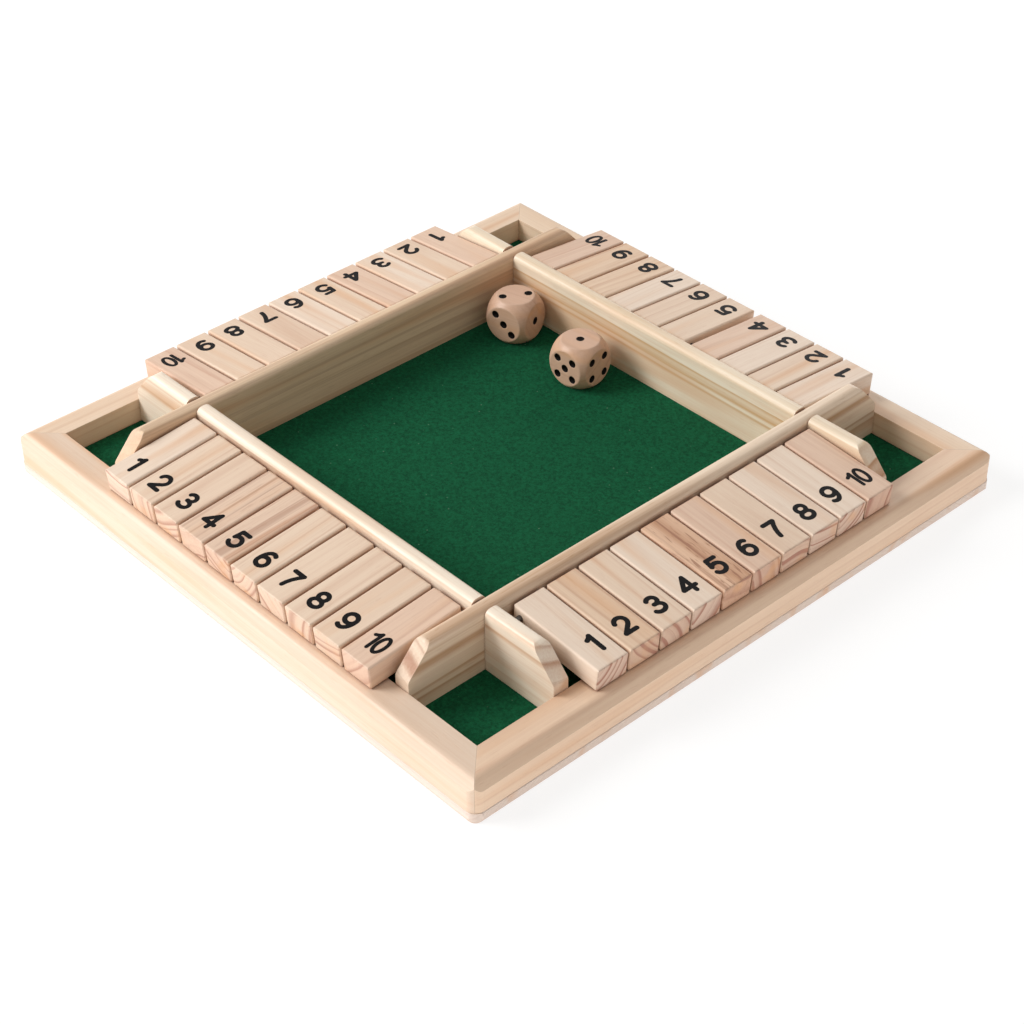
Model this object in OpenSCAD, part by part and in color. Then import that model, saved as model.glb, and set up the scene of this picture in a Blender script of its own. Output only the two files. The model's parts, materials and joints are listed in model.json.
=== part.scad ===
// Four-player wooden box game: a square tray with four rows of flip-over number
// tiles on steel rods, a felt-lined middle and two wooden dice.
// Millimetres. Z is up. The origin is the middle of the underside of the base.
// The right row looks along +X, the back row along +Y, and so on round the tray.

/* [Frame] */
// inside width of the square frame, between the rails
opening = 250; // [200:1:320]
// width of a frame rail, seen from above
rail_width = 14.6; // [12:0.2:20]
// height of a frame rail
rail_height = 13.9; // [10:0.1:25]
// how far the outer bevel comes in over the top of a rail
bevel_width = 3.0; // [1:0.1:5]
// how far the outer bevel comes down the side of a rail
bevel_drop = 4.35; // [2:0.05:8]
// how far the soft shoulder reaches each way from the upper edge of the bevel
shoulder = 2; // [0.5:0.1:2.5]
// softening of a rail's upper inner edge
rail_ease = 0.4; // [0.2:0.1:1]
// thickness of the base board
base_thickness = 4.2; // [3:0.1:8]
// how far the base board stands out past the rails
base_lip = 0.2; // [0:0.1:1]
// radius of the frame's upright corners
corner_radius = 4.5; // [0.5:0.1:6]
// thickness of the loose board that the felt is glued to
insert_thickness = 2.5; // [1.5:0.1:5]
// thickness of the felt
felt_thickness = 1; // [0.5:0.1:2]

/* [Partitions] */
// distance from the middle of the tray to the middle of a partition
partition_offset = 85.75; // [70:0.25:110]
// thickness of a partition
partition_thickness = 7; // [6:0.5:10]
// how far a partition stands above the rails
partition_rise = 16.8; // [12:0.1:22]
// radius of the rounded top edges of a partition
partition_round = 2.8; // [1:0.1:3.4]
// length of the slope at each end of a partition
end_slope_run = 11; // [4:0.1:20]
// height of the upright part of a partition end above the rail
end_upright = 4.6; // [2:0.1:8]
// softening where the slope meets the top of a partition
end_soft = 2.4; // [1:0.1:4]
// softening where the slope meets the upright end of a partition
end_ease = 0.9; // [0.3:0.1:2]
// height of the cross lap above the underside of the base
lap_height = 20; // [14:0.5:26]
// play in the cross lap, each side
lap_play = 0.1; // [0.05:0.05:0.3]
// play of a rod in its blind sockets, on the diameter
socket_play = 0.06; // [0.02:0.02:0.2]

/* [Tiles and rods] */
// length of a number tile
tile_length = 44.2; // [38:0.1:48]
// width of a number tile
tile_width = 15.1; // [13:0.1:15.7]
// thickness of a number tile
tile_thickness = 10.2; // [8:0.1:12]
// radius of the long edges of a tile
tile_round = 1.1; // [0.5:0.1:2]
// radius of the edges at the ends of a tile
tile_end_round = 0.9; // [0.5:0.1:2]
// radius of the top inner edge, which turns past the partition
tile_heel_round = 1.6; // [1.4:0.1:3]
// radius of the inner corners of a tile, seen from above
tile_corner_round = 2; // [0.9:0.1:4]
// distance from the inner end of a tile to its rod
rod_inset = 4.7; // [4:0.05:4.8]
// depth of the rod below the top face of a tile
rod_depth = 3.8; // [3:0.1:3.9]
// distance from the outer face of a partition to the rod
rod_offset = 5.55; // [5.55:0.05:7]
// slope of a lowered tile, outer end down
tile_slope = 5.2; // [3:0.1:8]
// diameter of a rod
rod_diameter = 2.5; // [2:0.1:3]
// radial play of a tile on its rod
bore_play = 0.05; // [0.02:0.01:0.1]
// how deep a rod sits in the partition at each end
rod_socket = 4.4; // [3:0.1:6]
// gap under the outer end of a lowered tile
rest_gap = 0.06; // [0.02:0.01:0.2]

/* [Dice] */
// edge of a die
die_edge = 20; // [12:0.5:25]
// radius of the ball that rounds off a die
die_ball = 13; // [11:0.1:16]
// distance of an outer pip from the middle of its face
pip_spread = 4.03; // [2:0.01:6]
// radius of the round drill that cuts the pips
pip_radius = 2.6; // [1:0.1:4]
// depth of a pip
pip_depth = 0.7; // [0.3:0.1:1.5]

/* [Hidden] */
rows = ["right", "back", "left", "front"];
// how far the first tile of each row stands from its partition, and the step to the next
row_start = [5.3, 2.35, 0.2, 0.75];
row_step = [15.95, 15.85, 16.17, 16.17];
// the back row has a wider gap after its fourth tile
row_break = [0, 2.4, 0, 0];
// where each die lies, how far it is turned, and how it fell
die_spot = [[-66.2, 68.9], [-21.8, 65.1]];
die_turn = [15.07, 5.95];
die_roll = [[-90, 0, -90], [0, 0, 180]];
// longer than any piece, for cuts that run right through
long = 400;
half = opening / 2;
outer = half + rail_width;
rail_top = base_thickness + rail_height;
felt_top = base_thickness + insert_thickness + felt_thickness;
partition_top = rail_top + partition_rise;
field = partition_offset - partition_thickness / 2;
row_face = partition_offset + partition_thickness / 2;
rod_x = row_face + rod_offset;
tip = tile_length - rod_inset;
rod_z = rail_top + rest_gap + tile_end_round
    + (tip - tile_end_round) * sin(tile_slope)
    + (tile_thickness - rod_depth - tile_end_round) * cos(tile_slope);
$fn = 48;

function two(n) = n < 10 ? str("0", n) : str(n);
function arc(c, r, a, b, n) =
    [for (i = [0:n]) c + r * [cos(a + (b - a) * i / n), sin(a + (b - a) * i / n)]];
// a rectangle with its four corners rounded, starting at the low x, high y corner
function soft(x0, x1, y0, y1, r, n = 4) = concat(
    arc([x0 + r[0], y1 - r[0]], r[0], 180, 90, n),
    arc([x1 - r[1], y1 - r[1]], r[1], 90, 0, n),
    arc([x1 - r[2], y0 + r[2]], r[2], 0, -90, n),
    arc([x0 + r[3], y0 + r[3]], r[3], -90, -180, n));
// a corner b softened from a to c
function eased(a, b, c, n = 4) =
    [for (i = [0:n]) let (t = i / n) pow(1 - t, 2) * a + 2 * t * (1 - t) * b + pow(t, 2) * c];

// long prism along Y of a shape drawn in X and Z
module along_y() {
    rotate([90, 0, 0]) linear_extrude(height = long, center = true) children();
}

// long prism along X of a shape drawn in Y and Z
module along_x() {
    rotate([90, 0, 90]) linear_extrude(height = long, center = true) children();
}

// the plan of the whole frame, with its corners rounded
module plan(h, grow = 0) {
    r = corner_radius;
    linear_extrude(height = h)
        polygon(soft(-outer - grow, outer + grow, -outer - grow, outer + grow, [r, r, r, r], 6));
}

// plywood base, flush under the rails, with its edges eased
module base_board() {
    edge = soft(-outer - base_lip, outer + base_lip, 0, base_thickness, [0.5, 0.5, 0.9, 0.9], 3);
    color("burlywood") intersection() {
        plan(base_thickness, base_lip);
        along_y() polygon(edge);
        along_x() polygon(edge);
    }
}

// thin board inside the frame that carries the felt
module insert_board() {
    w = opening - 0.5;
    color("tan") translate([-w / 2, -w / 2, base_thickness]) cube([w, w, insert_thickness]);
}

// one sheet of green felt glued to the insert board
module felt_liner() {
    w = opening - 0.5;
    color("darkgreen") translate([-w / 2, -w / 2, base_thickness + insert_thickness])
        cube([w, w, felt_thickness]);
}

// mitred frame rail with a soft shoulder and a bevel on its outer side
module rail(k) {
    b = [outer - bevel_width, rail_top];
    e = [outer, rail_top - bevel_drop];
    d = (e - b) / norm(e - b);
    color("wheat") rotate([0, 0, 90 * k]) intersection() {
        along_y() polygon(concat(
            [[half, base_thickness], [outer, base_thickness], e],
            eased(b + shoulder * d, b, b - [shoulder, 0]),
            eased([half + rail_ease, rail_top], [half, rail_top], [half, rail_top - rail_ease], 2)));
        linear_extrude(height = long) polygon([[0, 0], [long, -long], [long, long]]);
        plan(long);
    }
}

// long thin partition with rounded top edges and sloping ends, lying along Y
module partition_blank() {
    r = partition_round;
    t = partition_thickness / 2;
    p = [half, rail_top + end_upright];
    q = [half - end_slope_run, partition_top];
    d = (q - p) / norm(q - p);
    end = concat([[half, felt_top]],
        eased(p - [0, end_ease], p, p + end_ease * d, 3),
        eased(q - end_soft * d, q, q - [end_soft, 0]));
    intersection() {
        along_y() polygon(concat(
            arc([r - t, partition_top - r], r, 180, 90, 8),
            arc([t - r, partition_top - r], r, 90, 0, 8),
            [[t, felt_top], [-t, felt_top]]));
        along_x() polygon(concat(end, [for (i = [len(end) - 1:-1:0]) [-end[i][0], end[i][1]]]));
    }
}

// partition with its two rod sockets and two laps, which are cut from above or from below
module partition(k, from_above) {
    lap = partition_thickness + 2 * lap_play;
    color("wheat") rotate([0, 0, 90 * k]) difference() {
        translate([partition_offset, 0, 0]) partition_blank();
        for (s = [-1, 1]) {
            translate([0, s * partition_offset, lap_height + (from_above ? long : -long) / 2])
                cube([long, lap, long], center = true);
            translate([field, s * rod_x, rod_z]) rotate([0, 90, 0])
                cylinder(d = rod_diameter + socket_play, h = 2 * (rod_socket + lap_play), center = true);
        }
    }
}

// steel rod that a row of tiles turns on
module rod(k) {
    color("silver") rotate([0, 0, 90 * k]) translate([rod_x, 0, rod_z]) rotate([90, 0, 0])
        cylinder(d = rod_diameter, h = 2 * (field + rod_socket), center = true);
}

// number tile n of row k, lowered, with the bore for its rod
module tile(k, n) {
    w = tile_width / 2;
    low = rod_depth - tile_thickness;
    r = tile_round;
    s = tile_end_round;
    c = tile_corner_round;
    start = -field + row_start[k] + (n - 1) * row_step[k] + (n > 4 ? row_break[k] : 0);
    color("navajowhite") rotate([0, 0, 90 * k]) translate([rod_x, start + w, rod_z])
        rotate([0, tile_slope, 0]) difference() {
            intersection() {
                along_y() polygon(soft(-rod_inset, tip, low, rod_depth, [tile_heel_round, s, s, s]));
                along_x() polygon(soft(-w, w, low, rod_depth, [r, r, r, r]));
                linear_extrude(height = long, center = true)
                    polygon(soft(-rod_inset, tip, -w, w, [c, s, s, c]));
            }
            rotate([90, 0, 0])
                cylinder(d = rod_diameter + 2 * bore_play, h = long, center = true);
        }
}

// one face of a die, pips cut into its +Z side
module pips(spots) {
    for (p = spots)
        translate([p[0] * pip_spread, p[1] * pip_spread, die_edge / 2 - pip_depth + pip_radius])
            sphere(r = pip_radius);
}

// wooden die with near-round faces, as it lies on the felt
module die(i) {
    one = [[0, 0]];
    two = [[-1, 1], [1, -1]];
    three = concat(two, one);
    four = [[-1, -1], [-1, 1], [1, -1], [1, 1]];
    five = concat(four, one);
    six = concat(four, [[-1, 0], [1, 0]]);
    color("peru") translate([die_spot[i][0], die_spot[i][1], felt_top + die_edge / 2])
        rotate([0, 0, die_turn[i]]) difference() {
            intersection() {
                cube(die_edge, center = true);
                sphere(r = die_ball, $fn = 96);
            }
            rotate(die_roll[i]) {
                pips(one);
                rotate([90, 0, 0]) pips(two);
                rotate([0, 90, 0]) pips(three);
                rotate([0, -90, 0]) pips(four);
                rotate([-90, 0, 0]) pips(five);
                rotate([180, 0, 0]) pips(six);
            }
        }
}

base_board();
insert_board();
felt_liner();
for (k = [0:3]) {
    rail(k);
    partition(k, k % 2 == 1);
    rod(k);
    for (n = [1:10])
        tile(k, n);
}
die(0);  // die_a
die(1);  // die_b
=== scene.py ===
import json
import math
import random

import bpy
from mathutils import Euler, Matrix, Vector


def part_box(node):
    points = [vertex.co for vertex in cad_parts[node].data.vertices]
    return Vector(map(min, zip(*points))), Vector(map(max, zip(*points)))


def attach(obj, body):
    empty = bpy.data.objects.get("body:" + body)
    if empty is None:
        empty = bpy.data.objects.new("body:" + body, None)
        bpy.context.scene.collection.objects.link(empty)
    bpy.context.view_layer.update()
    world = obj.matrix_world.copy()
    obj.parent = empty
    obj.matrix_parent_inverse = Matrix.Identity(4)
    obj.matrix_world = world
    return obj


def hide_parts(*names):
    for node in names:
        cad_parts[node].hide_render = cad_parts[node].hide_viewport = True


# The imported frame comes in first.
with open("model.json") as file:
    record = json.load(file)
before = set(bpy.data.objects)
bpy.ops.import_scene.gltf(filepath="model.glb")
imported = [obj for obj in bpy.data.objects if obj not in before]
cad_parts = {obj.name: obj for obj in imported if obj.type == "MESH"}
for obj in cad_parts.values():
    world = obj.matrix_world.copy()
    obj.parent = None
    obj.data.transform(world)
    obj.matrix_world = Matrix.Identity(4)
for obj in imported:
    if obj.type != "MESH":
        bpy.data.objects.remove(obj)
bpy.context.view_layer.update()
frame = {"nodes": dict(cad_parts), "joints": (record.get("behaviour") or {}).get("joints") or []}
nodes = frame["nodes"]
scene = bpy.context.scene


# ---------------------------------------------------------------- base board
# Plywood base, glued under the rails, with its edges eased.
# Only the edge shows, as a pale band with the glue lines of its plies.

def linear(hex_colour):
    """An sRGB hex colour as linear RGBA."""
    parts = [int(hex_colour[i:i + 2], 16) / 255 for i in (1, 3, 5)]
    return tuple(c / 12.92 if c <= 0.04045 else ((c + 0.055) / 1.055) ** 2.4 for c in parts) + (1.0,)


def output(node):
    """The socket that a node gives its result through."""
    return next(socket for socket in node.outputs if socket.enabled)


def add(tree, kind, *values, **settings):
    """Adds a node with its settings, and sets or links its inputs in their order."""
    node = tree.nodes.new(kind)
    for name, value in settings.items():
        setattr(node, name, value)
    for socket, value in zip([s for s in node.inputs if s.enabled], values):
        if isinstance(value, bpy.types.Node):
            value = output(value)
        if isinstance(value, bpy.types.NodeSocket):
            tree.links.new(value, socket)
        elif value is not None:
            socket.default_value = value
    return node


def new_finish(name):
    """A material to be filled, with its node tree and its shader."""
    material = bpy.data.materials.new(name)
    material.use_nodes = True
    return material, material.node_tree, material.node_tree.nodes["Principled BSDF"]


MILLIMETRE = 0.001
EVENNESS = -0.48  # brings a plain patch of wood out near its pale colour
EDGE_RUB_AND_HIGHLIGHT = 0.0011  # how far in from an edge hands have rubbed it and a highlight is painted
NARROW_GAP = 0.0022  # how near the next piece stands where shade is painted into the gap


def wood(name, pale, dark, turn, at, pith, seed, year=3.0, rings=0.5, streak=0.0, end=0.25,
         rough=0.5, wander=8.0, gap_shade=0.52, soft=False):
    """Planed and sanded wood. Its rings run round a pith beside the stick, so that the lines on
    the faces meet the arcs on the end grain. at and turn place the grain's own X axis. year is
    the width of a ring and wander its swing in millimetres. rings, streak and end say how strong
    the rings, the mineral streaks and the end grain are, and gap_shade how wide the painted shade
    in a gap is. soft also rounds the edges in the shading."""
    material, tree, shader = new_finish(name)
    where = add(tree, "ShaderNodeTexCoord").outputs
    # millimetres from the middle of the stick, X along the grain
    stick = add(tree, "ShaderNodeMapping", where["Object"], at, turn, [MILLIMETRE] * 3,
                vector_type="TEXTURE")

    def grain(along, scale, detail, shift):
        """Cloudy noise drawn out along the stick, its scale in cycles a millimetre."""
        drawn = add(tree, "ShaderNodeVectorMath", stick, (along, 1, 1), operation="MULTIPLY")
        return add(tree, "ShaderNodeTexNoise", drawn, seed + shift, scale, detail, 0.55,
                   noise_dimensions="4D")

    # growth outward from the pith in millimetres, wandering a little along the stick
    across = add(tree, "ShaderNodeVectorMath", stick, (0, 1, 1), (0, -pith[0], -pith[1]),
                 operation="MULTIPLY_ADD")
    radius = add(tree, "ShaderNodeVectorMath", across, operation="LENGTH")
    growth = add(tree, "ShaderNodeMath", grain(0.12, 0.04, 1.0, 0.0), wander, radius,
                 operation="MULTIPLY_ADD")
    # the rings are wide and narrow, strong and faint, with a sharp outer edge
    spell = add(tree, "ShaderNodeTexNoise", growth, 0.11, 1.0, noise_dimensions="1D")
    years = add(tree, "ShaderNodeMath", growth, 1 / year, operation="MULTIPLY")
    years = add(tree, "ShaderNodeMath", spell, 2.4, years, operation="MULTIPLY_ADD")
    season = add(tree, "ShaderNodeValToRGB", add(tree, "ShaderNodeMath", years, operation="FRACT"))
    ramp = season.color_ramp
    ramp.elements[0].color = ramp.elements[1].color = (0.3, 0.3, 0.3, 1)
    for position, level in ((0.13, 0.0), (0.55, 0.15), (0.88, 1.0)):
        ramp.elements.new(position).color = (level, level, level, 1)
    each = add(tree, "ShaderNodeMath", add(tree, "ShaderNodeMath", years, operation="FLOOR"), seed)
    each = add(tree, "ShaderNodeTexNoise", each, 0.73, 0.0, noise_dimensions="1D")
    each = add(tree, "ShaderNodeMapRange", each, 0.35, 0.65, 0.12, 1.0, interpolation_type="SMOOTHSTEP")
    late = add(tree, "ShaderNodeMath", season, each, operation="MULTIPLY")

    # end grain drinks more finish, so that it is redder and its rings are stronger
    axis = Euler(turn).to_matrix() @ Vector((1, 0, 0))
    facing = add(tree, "ShaderNodeVectorMath", where["Normal"], axis, operation="DOT_PRODUCT")
    cut = add(tree, "ShaderNodeMath", facing, operation="ABSOLUTE")
    cut = add(tree, "ShaderNodeMapRange", cut, 0.45, 0.80, interpolation_type="SMOOTHSTEP")

    # fibres are 0.03 mm in real pine; 0.5 mm is the finest that shows here
    fibre = grain(0.018, 1.5, 2.0, 3.0)
    patch = grain(0.25, 0.07, 2.0, 7.0)
    pores = add(tree, "ShaderNodeMapRange", grain(0.10, 1.7, 1.0, 11.0), 0.62, 0.74,
                interpolation_type="SMOOTHSTEP")
    amount = add(tree, "ShaderNodeMath", late, rings, EVENNESS, operation="MULTIPLY_ADD")
    for part, weight in ((fibre, 0.58), (patch, 0.50), (pores, 0.16)):
        amount = add(tree, "ShaderNodeMath", part, weight, amount, operation="MULTIPLY_ADD")
    amount = add(tree, "ShaderNodeClamp", amount)
    body = add(tree, "ShaderNodeMix", amount, linear(pale), linear(dark), data_type="RGBA")
    arcs = add(tree, "ShaderNodeMath", late, 2.5 * end, 0.75 * end, operation="MULTIPLY_ADD")
    arcs = add(tree, "ShaderNodeMath", arcs, cut, operation="MULTIPLY")
    body = add(tree, "ShaderNodeMix", arcs, body, linear("#AE7C6A"), data_type="RGBA")
    # soft orange clouds where the heart of the tree was near
    warm = add(tree, "ShaderNodeMapRange", grain(0.06, 0.12, 1.0, 29.0), 0.50, 0.75, 0.0, 0.55,
               interpolation_type="SMOOTHSTEP")
    body = add(tree, "ShaderNodeMix", warm, body, linear("#DDA97B"), data_type="RGBA")
    if streak:
        # brown mineral streaks, and short dashes along the grain
        long_marks = add(tree, "ShaderNodeMapRange", grain(0.012, 0.45, 2.0, 17.0), 0.48, 0.66, 0.0,
                         0.9 * streak, interpolation_type="SMOOTHSTEP")
        dashes = add(tree, "ShaderNodeMapRange", grain(0.10, 1.2, 1.5, 23.0), 0.58, 0.68, 0.0,
                     streak * streak, interpolation_type="SMOOTHSTEP")
        marks = add(tree, "ShaderNodeMath", long_marks, dashes, operation="MAXIMUM")
        kept = add(tree, "ShaderNodeMapRange", cut, 0.0, 1.0, 1.0, 0.25)
        marks = add(tree, "ShaderNodeMath", marks, kept, operation="MULTIPLY")
        body = add(tree, "ShaderNodeMix", marks, body, linear("#935E44"), data_type="RGBA")
    # handled edges are rubbed a little paler, and the pale band along every edge is also a painted highlight
    rounded = add(tree, "ShaderNodeBevel", EDGE_RUB_AND_HIGHLIGHT, samples=4)
    flat = add(tree, "ShaderNodeNewGeometry").outputs["Normal"]
    rub_and_highlight = add(tree, "ShaderNodeVectorMath", rounded, flat, operation="DOT_PRODUCT")
    rub_and_highlight = add(tree, "ShaderNodeMapRange", rub_and_highlight, 0.995, 0.88, 0.0, 0.22, interpolation_type="SMOOTHSTEP")
    body = add(tree, "ShaderNodeMix", rub_and_highlight, body, linear("#F6E6D3"), data_type="RGBA")
    # painted shade: where another piece stands near, the wood is painted a darker red-brown, as the shade in
    # a narrow gap
    near = add(tree, "ShaderNodeAmbientOcclusion", (1, 1, 1, 1), NARROW_GAP, samples=4)
    near = near.outputs["AO"]
    painted_gap_shade = add(tree, "ShaderNodeMapRange", near, gap_shade, 0.08, 0.0, 0.8, interpolation_type="SMOOTHSTEP")
    body = add(tree, "ShaderNodeMix", painted_gap_shade, body, linear("#965F43"), data_type="RGBA")
    tree.links.new(output(body), shader.inputs["Base Color"])

    # waxy late wood shines more than the fibres, and end grain is duller
    gloss = add(tree, "ShaderNodeMath", fibre, 0.22, rough - 0.10, operation="MULTIPLY_ADD")
    gloss = add(tree, "ShaderNodeMath", cut, 0.18, gloss, operation="MULTIPLY_ADD")
    tree.links.new(gloss.outputs[0], shader.inputs["Roughness"])
    shader.inputs["IOR"].default_value = 1.48
    relief = add(tree, "ShaderNodeMath", late, 0.5, fibre, operation="MULTIPLY_ADD")
    relief = add(tree, "ShaderNodeMath", relief, pores, operation="SUBTRACT")
    bump = add(tree, "ShaderNodeBump", 0.55, 0.00006, None, relief, rounded if soft else None)
    tree.links.new(bump.outputs[0], shader.inputs["Normal"])
    return material


SHARPEST_ROUNDING = math.radians(32)  # a steeper step between two faces is a real edge
SAME_POINT = 0.000002  # corners nearer than this are one corner


def eased(obj):
    """Smooth shading over the small roundings, with the flat faces kept flat."""
    tree = bpy.data.node_groups.get("eased edges")
    if tree is None:
        tree = bpy.data.node_groups.new("eased edges", "GeometryNodeTree")
        tree.interface.new_socket("Geometry", in_out="INPUT", socket_type="NodeSocketGeometry")
        tree.interface.new_socket("Geometry", in_out="OUTPUT", socket_type="NodeSocketGeometry")
        bare = add(tree, "GeometryNodeRemoveAttribute", add(tree, "NodeGroupInput"), "custom_normal")
        joined = add(tree, "GeometryNodeMergeByDistance", bare, None, SAME_POINT)
        smooth = add(tree, "GeometryNodeSetShadeSmooth", joined, None, True, domain="FACE")
        angle = add(tree, "GeometryNodeInputMeshEdgeAngle")
        crisp = add(tree, "ShaderNodeMath", angle, SHARPEST_ROUNDING, operation="GREATER_THAN")
        sharp = add(tree, "GeometryNodeSetShadeSmooth", smooth, crisp, False, domain="EDGE")
        add(tree, "NodeGroupOutput", sharp)
    obj.modifiers.new("eased edges", "NODES").node_group = tree
    weighted = obj.modifiers.new("flat faces", "WEIGHTED_NORMAL")
    weighted.keep_sharp = True
    weighted.mode = "FACE_AREA"


def coat(node, material):
    """Gives a CAD node its finish."""
    obj = nodes[node]
    obj.data.materials.clear()
    obj.data.materials.append(material)


def dress(node, material):
    """Gives a CAD node its finish and smooth roundings."""
    coat(node, material)
    eased(nodes[node])


def middle(node):
    """The middle of a CAD node's box."""
    low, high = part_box(node)
    return (low + high) / 2


base_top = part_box("base_board")[1].z
base_ply = wood("birch plywood, lacquered", "#E6D6CC", "#D0B7A8", (0, 0, 0), middle("base_board"),
                pith=(0, -160), seed=3.1, year=1.4, rings=0.35, end=0.0, wander=0.6)
dress("base_board", base_ply)


# -------------------------------------------------------------- insert board
# Thin plywood board that drops inside the frame and carries the felt.
# It is hidden, so that its face is left raw.
insert_ply = wood("poplar plywood, raw", "#D9C2A2", "#B39268", (0, 0, math.pi / 2), middle("insert_board"),
                  pith=(0, -120), seed=5.4, year=0.8, rings=0.3, end=0.0, rough=0.7, wander=0.6)
dress("insert_board", insert_ply)


# ----------------------------------------------------------------- felt liner
# One sheet of dyed green felt, cut to the opening of the frame and glued down.
# Matted fibres: matt and fuzzy, with a fine cloudy nap and a few pale specks of lint.
low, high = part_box("felt_liner")
NAP_STEP = 0.00125  # from one point of the matted top to the next
NAP_DEPTH = 0.00007  # how much lower a trodden point lies
CUT_DROP = 0.00018  # how far the shears have pressed the cut edge down


def felt_mesh():
    """A closed sheet with an uneven top, a square cut edge and a flat underside."""
    count = round((high.x - low.x) / NAP_STEP)
    random.seed(11)
    step = (high.x - low.x) / count
    points, faces = [], []
    for j in range(count + 1):
        for i in range(count + 1):
            inside = 0 < i < count and 0 < j < count
            dip = random.random() * NAP_DEPTH if inside else CUT_DROP
            points.append((low.x + i * step, low.y + j * step, high.z - dip))
    row = count + 1
    for j in range(count):
        for i in range(count):
            a = j * row + i
            faces.append((a, a + 1, a + row + 1, a + row))
    # the cut edge and the glued underside close the sheet
    rim = list(range(row)) + [j * row + count for j in range(1, row)]
    rim += [count * row + i for i in range(count - 1, -1, -1)]
    rim += [j * row for j in range(count - 1, 0, -1)]
    first = len(points)
    points += [(points[i][0], points[i][1], low.z) for i in rim]
    for n in range(len(rim)):
        m = (n + 1) % len(rim)
        faces.append((rim[m], rim[n], first + n, first + m))
    faces.append(tuple(first + n for n in range(len(rim) - 1, -1, -1)))
    mesh = bpy.data.meshes.new("felt_sheet")
    mesh.from_pydata(points, [], faces)
    mesh.update()
    for polygon in mesh.polygons:
        polygon.use_smooth = polygon.center.z > high.z - 2 * CUT_DROP
    return mesh


felt = bpy.data.objects.new("felt_sheet", felt_mesh())
scene.collection.objects.link(felt)


def in_millimetres(tree):
    """The place on a piece in millimetres, for patterns that have no direction."""
    where = add(tree, "ShaderNodeTexCoord").outputs["Object"]
    return add(tree, "ShaderNodeMapping", where, None, None, [1 / MILLIMETRE] * 3)


felt_green, tree, shader = new_finish("wool felt, dyed green")
mm = in_millimetres(tree)
# clumps of fibre about 1.5 mm across, and single hairs drawn 0.4 mm wide so that they show
clump = add(tree, "ShaderNodeTexNoise", mm, 0.7, 3.0, 0.65)
hair = add(tree, "ShaderNodeTexNoise", mm, 2.3, 3.0, 0.7, None, 1.2)
cloud = add(tree, "ShaderNodeTexNoise", mm, 0.03, 2.0)
nap = add(tree, "ShaderNodeMix", 0.5, clump, hair)
body = add(tree, "ShaderNodeMapRange", nap, 0.36, 0.64, interpolation_type="SMOOTHSTEP")
body = add(tree, "ShaderNodeMix", body, linear("#0B3E28"), linear("#186743"), data_type="RGBA")
faded = add(tree, "ShaderNodeMath", cloud, 0.35, operation="MULTIPLY")
body = add(tree, "ShaderNodeMix", faded, body, linear("#114B30"), data_type="RGBA")
speck = add(tree, "ShaderNodeTexVoronoi", mm, 0.16)
lint = add(tree, "ShaderNodeMapRange", speck, 0.075, 0.02, 0.0, 0.4, interpolation_type="SMOOTHSTEP")
body = add(tree, "ShaderNodeMix", lint, body, linear("#7FA287"), data_type="RGBA")
tree.links.new(output(body), shader.inputs["Base Color"])
matt = add(tree, "ShaderNodeMapRange", hair, 0.2, 0.8, 0.86, 1.0)
tree.links.new(matt.outputs[0], shader.inputs["Roughness"])
shader.inputs["IOR"].default_value = 1.4
shader.inputs["Specular IOR Level"].default_value = 0.12
shader.inputs["Sheen Weight"].default_value = 0.08
shader.inputs["Sheen Roughness"].default_value = 0.5
shader.inputs["Sheen Tint"].default_value = linear("#4FA077")
fuzz = add(tree, "ShaderNodeBump", 0.9, 0.0005, None, nap)
tree.links.new(fuzz.outputs[0], shader.inputs["Normal"])
felt.data.materials.append(felt_green)
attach(felt, "tray")
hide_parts("felt_liner")


# ---------------------------------------------------------------------- rails
# Four mitred pine rails with a soft shoulder and a bevel, sanded and lacquered.
# The grain runs along each rail, and glue shows as a fine dark line in the joints.
SIDES = ("right", "back", "left", "front")
QUARTER = math.pi / 2
SAWN_ASKEW = 0.006  # radians that the grain lies out of line with a rail or a partition
GLUE_LINE = 0.00025  # how far to each side of a joint its dark line reaches
GLUE_SHADE = 0.28  # how strong that line is
RAIL_LOOKS = {  # pale wood, dark wood, pith beside the rail, millimetres a year, strength of the rings
    "right": ("#EDD0B5", "#D0A486", (-34, -60), 6.0, 0.42),
    "back": ("#EBD2B8", "#CFA988", (30, -70), 5.0, 0.40),
    "left": ("#ECD3BA", "#D1A988", (-40, -52), 6.5, 0.40),
    "front": ("#E7D0BB", "#CFA27A", (26, -90), 8.0, 0.62),
}


def paint_over(material, mask, colour):
    """Lays a colour over the one a material has, where the mask is 1."""
    tree = material.node_tree
    socket = tree.nodes["Principled BSDF"].inputs["Base Color"]
    painted = add(tree, "ShaderNodeMix", mask, socket.links[0].from_socket, linear(colour), data_type="RGBA")
    tree.links.new(output(painted), socket)


for k, side in enumerate(SIDES):
    pale, dark, pith, year, rings = RAIL_LOOKS[side]
    finish = wood(f"pine rail {side}, lacquered", pale, dark, (0, SAWN_ASKEW, (k + 1) * QUARTER),
                  middle(f"rail_{side}"), pith, seed=20.0 + 11.3 * k, year=year, rings=rings, end=0.05,
                  rough=0.42)
    tree = finish.node_tree
    # the corner joints lie where X and Y are equal, and the base joint at the foot of the rail
    away = add(tree, "ShaderNodeVectorMath", add(tree, "ShaderNodeTexCoord").outputs["Object"],
               operation="ABSOLUTE")
    away = add(tree, "ShaderNodeSeparateXYZ", away).outputs
    mitre = add(tree, "ShaderNodeMath", away["X"], away["Y"], operation="SUBTRACT")
    mitre = add(tree, "ShaderNodeMath", mitre, operation="ABSOLUTE")
    foot = add(tree, "ShaderNodeMath", away["Z"], base_top, operation="SUBTRACT")
    joint = add(tree, "ShaderNodeMath", mitre, foot, operation="MINIMUM")
    joint = add(tree, "ShaderNodeMapRange", joint, GLUE_LINE, GLUE_LINE / 2, 0.0, GLUE_SHADE)
    paint_over(finish, joint, "#8A6347")
    dress(f"rail_{side}", finish)


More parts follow.
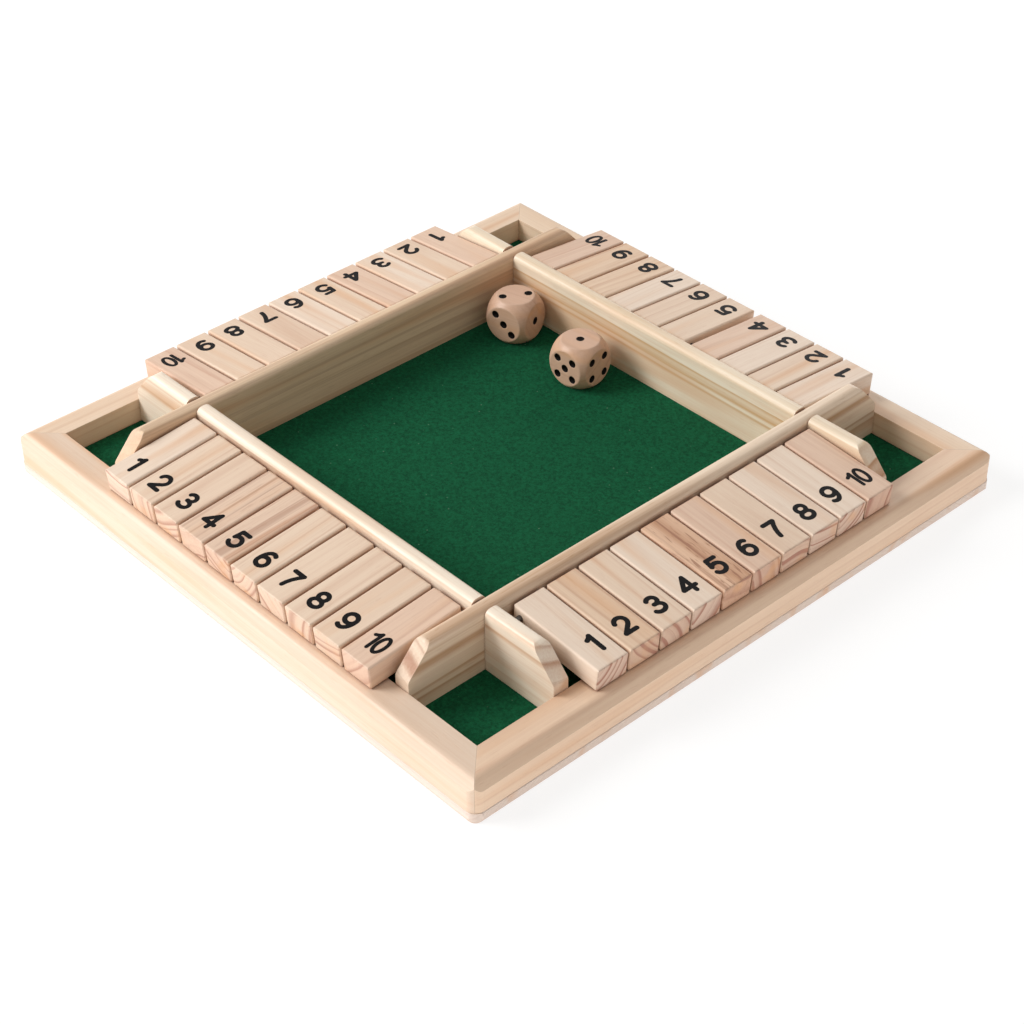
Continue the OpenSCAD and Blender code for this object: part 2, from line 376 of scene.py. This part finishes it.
# ----------------------------------------------------------------- partitions
# Four thin pine partitions with rounded top edges, halved together where they cross.
# The rings lie nearly flat, so that they show as bands along both faces.
PARTITION_LOOKS = {  # the same five values as the rails
    "right": ("#F4E0C9", "#BE926B", (16, -50), 5.0, 0.75),
    "back": ("#F6E9D4", "#D3A976", (-12, -63), 8.5, 0.85),
    "left": ("#EBD0B1", "#BE9873", (24, -52), 5.5, 0.50),
    "front": ("#FAEBD8", "#CDA075", (-14, -70), 6.0, 0.75),
}
for k, side in enumerate(SIDES):
    pale, dark, pith, year, rings = PARTITION_LOOKS[side]
    finish = wood(f"pine partition {side}, lacquered", pale, dark, (0, -SAWN_ASKEW, (k + 1) * QUARTER),
                  middle(f"partition_{side}"), pith, seed=60.0 + 9.7 * k, year=year, rings=rings,
                  streak=0.32 if side == "left" else 0.0, end=0.20, rough=0.42)
    dress(f"partition_{side}", finish)


# ----------------------------------------------------------------------- rods
# Drawn steel rods, one through each row of tiles, held in the partitions at both ends.
# Drawing and handling leave them satin with fine uneven marks, and their grey is painted darker as shade, so
# that a rod sits dark in its gap.
steel, tree, shader = new_finish("drawn steel rod")
marks = add(tree, "ShaderNodeTexNoise", in_millimetres(tree), 2.6, 3.0)
# painted shade: both greys are darker than bare steel, and stand in for the shade in the gaps
body = add(tree, "ShaderNodeMix", marks, linear("#464341"), linear("#686461"), data_type="RGBA")
tree.links.new(output(body), shader.inputs["Base Color"])
satin = add(tree, "ShaderNodeMapRange", marks, 0.2, 0.8, 0.34, 0.50)
tree.links.new(satin.outputs[0], shader.inputs["Roughness"])
shader.inputs["Metallic"].default_value = 1.0
scratches = add(tree, "ShaderNodeBump", 0.3, 0.00003, None, marks)
tree.links.new(scratches.outputs[0], shader.inputs["Normal"])
for side in SIDES:
    dress(f"rod_{side}", steel)


# ---------------------------------------------------------------------- tiles
# Forty pine tiles, sawn from many sticks, sanded, and printed with a number.
# No two are alike: each has its own rings, tone and streaks, and arcs on its end grain.
TONES = {  # pale wood, dark wood, how strong the rings are, how strong the streaks are
    "c": ("#EFDBC8", "#D1AD92", 0.30, 0.0),  # cream
    "n": ("#EAD2BB", "#CBA287", 0.42, 0.0),  # natural
    "r": ("#E6C8B1", "#C6977D", 0.42, 0.08),  # rosy
    "t": ("#E9CDB2", "#CA9E7E", 0.55, 0.12),  # tan
    "s": ("#E7CCB5", "#C1937A", 0.70, 0.45),  # streaked
    "b": ("#E8C2A4", "#BC8B69", 0.80, 0.85),  # brown and streaked
}
NUMBERS = range(1, 11)
TONE_ROWS = {"right": "ctncbrnccr", "back": "cncrnncttr", "left": "rncrncnnnr", "front": "cnnssnnnnr"}
tile_joint = {j["child"]: Vector(j["pos_m"]) for j in frame["joints"] if j["child"].startswith("tile")}
TILE_SLOPE = math.radians(5.2)
STICK_ASKEW = 0.04  # radians that the grain may run out of line with its tile
END_STAIN = {"right": 0.48, "back": 0.30, "left": 0.30, "front": 0.26}  # how deep the end grain is
random.seed(404)
for k, side in enumerate(SIDES):
    for n in NUMBERS:
        name = f"tile_{side}_{n:02d}"
        pale, dark, rings, streak = TONES[TONE_ROWS[side][n - 1]]
        reach = random.uniform(14, 60)
        around = random.uniform(0, 2 * math.pi)
        lean = (0, TILE_SLOPE + random.uniform(-STICK_ASKEW, STICK_ASKEW),
                k * QUARTER + random.uniform(-STICK_ASKEW, STICK_ASKEW))
        # the tiles take a wider painted shade in the gaps between them
        finish = wood(f"pine tile {side} {n}, sanded", pale, dark, lean, tile_joint[name],
                      pith=(reach * math.cos(around), reach * math.sin(around)),
                      seed=random.uniform(0, 90), year=random.uniform(2.2, 5.0), rings=rings,
                      streak=streak, end=END_STAIN[side], rough=0.5, gap_shade=0.72)
        dress(name, finish)


# -------------------------------------------------------------------- numbers
# The numbers are pad-printed in black ink, in thick strokes with round ends.
# Each is a film of ink that sits just proud of the wood.
INK_TOP = 0.00006  # how far the film stands proud of the wood
INK_FOOT = INK_TOP / 3  # how far it has soaked in
INK_STEP = 0.000004  # how much higher each next stroke of a number lies
ARC_STEP = 9  # degrees from one point of an arc to the next
CAP_STEPS = 10  # steps round the end of a stroke
CLOSED_GAP = 1e-6  # millimetres between the ends of a stroke that meets itself


def arc(cx, cy, rx, ry, start, stop):
    """Points along an arc of an ellipse, its angles in degrees."""
    count = max(6, round(abs(stop - start) / ARC_STEP))
    return [(cx + rx * math.cos(math.radians(start + (stop - start) * i / count)),
             cy + ry * math.sin(math.radians(start + (stop - start) * i / count)))
            for i in range(count + 1)]


# middle lines of the strokes in millimetres, X to the right and Y up
STROKES = {
    "0": [arc(0, 0, 1.75, 3.75, 0, 360)],
    "1": [[(0.55, 3.65), (0.55, -3.65)], [(0.55, 3.65), (-0.25, 2.75), (-1.45, 2.15)]],
    "2": [arc(-0.05, 1.35, 2.35, 2.3, 168, -28) + [(1.4, -0.55), (-2.35, -3.65)],
          [(-2.35, -3.65), (2.45, -3.65)]],
    "3": [arc(-0.1, 1.88, 2.0, 1.77, 150, -82) + [(-0.5, 0.15)],
          [(-0.5, 0.15)] + arc(-0.1, -1.78, 2.45, 1.9, 84, -152)],
    "4": [[(1.2, -3.65), (1.2, 3.65)], [(1.2, 3.65), (-2.75, -1.5)], [(-2.75, -1.5), (2.8, -1.5)]],
    "5": [[(2.1, 3.65), (-1.65, 3.65)], [(-1.65, 3.65), (-2.05, 0.2)],
          arc(-0.1, -1.22, 2.5, 2.43, 143, -150)],
    "6": [arc(0, -1.4, 2.35, 2.25, 0, 360), arc(0.5, -0.6, 2.85, 4.25, 192, 62)],
    "7": [[(-2.35, 3.65), (2.4, 3.65)], [(2.4, 3.65), (1.2, 1.9), (0.2, 0.0), (-0.45, -1.9), (-0.75, -3.65)]],
    "8": [arc(0, 1.85, 1.95, 1.8, 0, 360), arc(0, -1.75, 2.4, 1.9, 0, 360)],
    "9": [arc(0, 1.4, 2.35, 2.25, 0, 360), arc(-0.5, 0.6, 2.85, 4.25, 12, -118)],
}


def ink_film(lines, half):
    """Points and faces of thin closed films along some lines, half as wide each side."""
    points, faces = [], []

    def slab(outline, top):
        """One flat film with straight sides."""
        first = len(points)
        count = len(outline)
        points.extend((x * MILLIMETRE, y * MILLIMETRE, top) for x, y in outline)
        points.extend((x * MILLIMETRE, y * MILLIMETRE, -INK_FOOT) for x, y in outline)
        faces.append(tuple(first + i for i in range(count)))
        faces.append(tuple(first + count + i for i in reversed(range(count))))
        for i in range(count):
            j = (i + 1) % count
            faces.append((first + j, first + i, first + count + i, first + count + j))

    def cap(centre, direction):
        """The round end of a stroke that runs in a direction."""
        start = math.atan2(direction.y, direction.x) - QUARTER
        turns = [start + math.pi * i / CAP_STEPS for i in range(1, CAP_STEPS)]
        return [centre + Vector((math.cos(turn), math.sin(turn))) * half for turn in turns]

    for number, line in enumerate(lines):
        # where strokes cross, one lies a hair higher than the next
        top = INK_TOP + number * INK_STEP
        line = [Vector(p) for p in line]
        closed = (line[0] - line[-1]).length < CLOSED_GAP
        if closed:
            line = line[:-1]
        left, right = [], []
        for i, p in enumerate(line):
            a = (p - line[i - 1]).normalized() if closed or i else None
            b = (line[(i + 1) % len(line)] - p).normalized() if closed or i < len(line) - 1 else None
            a, b = a or b, b or a
            along = (a + b).normalized()
            aside = Vector((-along.y, along.x)) * half / along.dot(a)
            left.append(p + aside)
            right.append(p - aside)
        if closed:
            for i in range(len(line)):
                j = (i + 1) % len(line)
                slab([right[i], right[j], left[j], left[i]], top)
        else:
            slab(right + cap(line[-1], (line[-1] - line[-2]).normalized())
                 + left[::-1] + cap(line[0], (line[0] - line[1]).normalized()), top)
    return points, faces


ink, tree, shader = new_finish("black printing ink")
# the film is thin, so the grain's unevenness comes through at about half a millimetre
thin = add(tree, "ShaderNodeTexNoise", in_millimetres(tree), 1.6, 3.0)
body = add(tree, "ShaderNodeMapRange", thin, 0.5, 0.85, interpolation_type="SMOOTHSTEP")
body = add(tree, "ShaderNodeMix", body, linear("#070607"), linear("#15100F"), data_type="RGBA")
tree.links.new(output(body), shader.inputs["Base Color"])
dull = add(tree, "ShaderNodeMapRange", thin, 0.3, 0.7, 0.45, 0.6)
tree.links.new(dull.outputs[0], shader.inputs["Roughness"])
shader.inputs["IOR"].default_value = 1.5
shader.inputs["Specular IOR Level"].default_value = 0.1
skin = add(tree, "ShaderNodeBump", 0.4, 0.00003, None, thin)
tree.links.new(skin.outputs[0], shader.inputs["Normal"])

TILE_TOP = 0.0038  # from the rod to the top face of its tile
NUMBER_OUT = 0.0276  # from the rod to the middle of the number
NUMBER_SCALE = 1.08
# each row was printed in its own pass, and so a little further out or in
FURTHER_OUT = {"right": 0.0006, "back": 0.0020, "left": 0.0021, "front": 0.0012}
FIRST_ASIDE = 0.0016  # the first number of the right row stands towards the second tile
HAND_PLACED = 0.0003  # metres that a number may lie out of place
HAND_TURNED = 0.02  # radians that it may lie turned
HALF_STROKE = 0.97  # millimetres, half the width of a stroke
HALF_STROKE_TEN = 0.76  # the same in a ten, where both figures share a tile
ONE_LEFT = 2.35  # millimetres from the middle of a ten to its 1
NOUGHT_RIGHT = 1.5  # and to its 0
random.seed(77)
for k, side in enumerate(SIDES):
    for n in NUMBERS:
        name = f"tile_{side}_{n:02d}"
        lines = STROKES[str(n % 10)]
        half = HALF_STROKE
        if n == 10:
            half = HALF_STROKE_TEN
            lines = ([[(x - ONE_LEFT, y) for x, y in line] for line in STROKES["1"]]
                     + [[(x + NOUGHT_RIGHT, y) for x, y in line] for line in STROKES["0"]])
        lines = [[(x * NUMBER_SCALE, y * NUMBER_SCALE) for x, y in line] for line in lines]
        points, faces = ink_film(lines, half)
        mesh = bpy.data.meshes.new(f"number_{side}_{n:02d}")
        mesh.from_pydata(points, [], faces)
        mesh.update()
        printed = bpy.data.objects.new(f"number_{side}_{n:02d}", mesh)
        scene.collection.objects.link(printed)
        # the top of a number is towards the middle of the tray, and it reads from outside
        out = NUMBER_OUT + FURTHER_OUT[side] + random.uniform(-HAND_PLACED, HAND_PLACED)
        along = random.uniform(-HAND_PLACED, HAND_PLACED)
        if name == "tile_right_01":
            along += FIRST_ASIDE
        mesh.transform(Matrix.Translation(tile_joint[name]) @ Matrix.Rotation(k * QUARTER, 4, "Z")
                       @ Matrix.Rotation(TILE_SLOPE, 4, "Y") @ Matrix.Translation((out, along, TILE_TOP))
                       @ Matrix.Rotation(QUARTER + random.uniform(-HAND_TURNED, HAND_TURNED), 4, "Z"))
        mesh.materials.append(ink)
        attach(printed, name)


# ----------------------------------------------------------------------- dice
# Two beech dice, tumbled until the faces are nearly round, with black drilled pips.
# Beech is fine and even, so the rings are faint and the waxed faces have a low shine.
DIE_HALF = 10.0  # millimetres from the middle of a die to its faces, as all lengths here
DIE_BALL = 13.0  # radius of the ball that has rounded it off
PAINT_START = 0.02  # how far below a face the paint of a pip begins
BALL_FACET = 0.07  # how far the facets of the round faces lie inside the ball
DICE = {  # degrees that it lies turned by, pith beside it, seed of its grain
    "die_a": (15.07, (22, 15), 5.5),
    "die_b": (5.95, (-18, 25), 8.8),
}
for die, (turned, pith, seed) in DICE.items():
    turn = (0, 0, math.radians(turned))
    finish = wood(f"beech {die}, waxed", "#D3AE95", "#B0866C", turn, middle(die), pith, seed, year=3.4,
                  rings=0.22, end=0.1, rough=0.4, soft=True)
    tree = finish.node_tree
    shader = tree.nodes["Principled BSDF"]
    where = add(tree, "ShaderNodeTexCoord").outputs["Object"]
    local = add(tree, "ShaderNodeMapping", where, middle(die), turn, [MILLIMETRE] * 3,
                vector_type="TEXTURE")
    # what lies deeper than the flat faces and inside the ball has been drilled
    across = add(tree, "ShaderNodeVectorMath", local, operation="ABSOLUTE")
    across = add(tree, "ShaderNodeSeparateXYZ", across)
    depth = add(tree, "ShaderNodeMath", across.outputs[0], across.outputs[1], operation="MAXIMUM")
    depth = add(tree, "ShaderNodeMath", depth, across.outputs[2], operation="MAXIMUM")
    below = add(tree, "ShaderNodeMath", depth, DIE_HALF - PAINT_START, operation="LESS_THAN")
    ball = add(tree, "ShaderNodeVectorMath", local, operation="LENGTH")
    inside = add(tree, "ShaderNodeMath", ball, DIE_BALL - BALL_FACET, operation="LESS_THAN")
    drilled = add(tree, "ShaderNodeMath", below, inside, operation="MULTIPLY")
    paint_over(finish, drilled, "#0C0908")
    # the paint in the pips is dead matt
    shine = add(tree, "ShaderNodeMapRange", drilled, 0.0, 1.0, 0.5, 0.08)
    tree.links.new(shine.outputs[0], shader.inputs["Specular IOR Level"])
    coat(die, finish)


# --------------------------------------------------------------------- studio
# A plain white floor that keeps the object's soft shadow, and soft studio light.
# The main light stands to the front left, and the floor throws it back up, with a painted glow of its own
# added.
FLOOR_SIZE = 12  # metres
JUST_UNDER = -0.0001  # so that the floor and the underside don't share a plane
bpy.ops.mesh.primitive_plane_add(size=FLOOR_SIZE, location=(0, 0, JUST_UNDER))
floor = bpy.context.object
floor.name = "studio_floor"
paper = bpy.data.materials.new("white paper sweep")
paper.use_nodes = True
tree = paper.node_tree
tree.nodes.remove(tree.nodes["Principled BSDF"])


def background_ray(tree):
    """1 for the rays that show the background: straight ones, mirrored ones and those through glass."""
    rays = add(tree, "ShaderNodeLightPath").outputs
    seen = add(tree, "ShaderNodeMath", rays["Is Camera Ray"], rays["Is Glossy Ray"], operation="MAXIMUM")
    return add(tree, "ShaderNodeMath", seen, rays["Is Transmission Ray"], operation="MAXIMUM")


lit = add(tree, "ShaderNodeBsdfDiffuse", (0.26, 0.26, 0.26, 1))
# the paper's glow is painted brighter away from the tray so that it meets the white backdrop, and a little
# dimmer near the tray as a painted falloff of light
painted_falloff = add(tree, "ShaderNodeTexCoord").outputs["Object"]
painted_falloff = add(tree, "ShaderNodeVectorMath", painted_falloff, operation="LENGTH")
painted_falloff = add(tree, "ShaderNodeMapRange", painted_falloff, 0.25, 0.80, 0.80, 1.0, interpolation_type="SMOOTHSTEP")
glow = add(tree, "ShaderNodeEmission", (1, 1, 1, 1), painted_falloff)
shown = add(tree, "ShaderNodeAddShader", lit, glow)
# the floor throws light back up at the wood, and also glows a little warm for it, a painted glow that adds to
# the light thrown back
plain = add(tree, "ShaderNodeBsdfDiffuse", (0.88, 0.86, 0.84, 1))
floor_glow = add(tree, "ShaderNodeEmission", (1.0, 0.97, 0.93, 1), 0.72)
bounce_and_glow = add(tree, "ShaderNodeAddShader", plain, floor_glow)
sweep = add(tree, "ShaderNodeMixShader", background_ray(tree), bounce_and_glow, shown)
tree.links.new(sweep.outputs[0], tree.nodes["Material Output"].inputs["Surface"])
floor.data.materials.append(paper)

world = bpy.data.worlds.new("studio")
scene.world = world
world.use_nodes = True
tree = world.node_tree
tree.nodes.clear()
ambient = add(tree, "ShaderNodeBackground", (1.0, 0.965, 0.92, 1), 0.42)
backdrop = add(tree, "ShaderNodeBackground", (1, 1, 1, 1), 1.0)
add(tree, "ShaderNodeOutputWorld", add(tree, "ShaderNodeMixShader", background_ray(tree), ambient, backdrop))

MIDDLE_OF_TRAY = Vector((0, 0, 0.02))


def softbox(name, place, width, watts, colour):
    """A square soft light that faces the middle of the tray."""
    lamp = bpy.data.lights.new(name, "AREA")
    lamp.shape = "SQUARE"
    lamp.size = width
    lamp.energy = watts
    lamp.color = linear(colour)[:3]
    holder = bpy.data.objects.new(name, lamp)
    scene.collection.objects.link(holder)
    holder.location = place
    holder.rotation_euler = (MIDDLE_OF_TRAY - Vector(place)).to_track_quat("-Z", "Y").to_euler()


softbox("key", (-1.20, -1.36, 1.30), 1.1, 42, "#FEFDFC")
softbox("rim", (-0.45, 1.10, 0.50), 0.5, 2, "#FFFFFF")

# The camera looks down over the corner between the front and the right row,
# from a little over half a metre up.
camera = bpy.data.cameras.new("camera")
camera.lens = 78.05
camera.sensor_width = 36
camera.sensor_fit = "HORIZONTAL"
camera.clip_start = 0.05
holder = bpy.data.objects.new("camera", camera)
scene.collection.objects.link(holder)
right = Vector((0.6764, 0.7365, -0.0082)).normalized()
forward = Vector((-0.58732, 0.53261, -0.60941)).normalized()
up = right.cross(forward).normalized()
right = forward.cross(up).normalized()
holder.matrix_world = (Matrix.Translation((0.5404, -0.4846, 0.5400))
                       @ Matrix((right, up, -forward)).transposed().to_4x4())
scene.camera = holder
scene.view_settings.view_transform = "Standard"
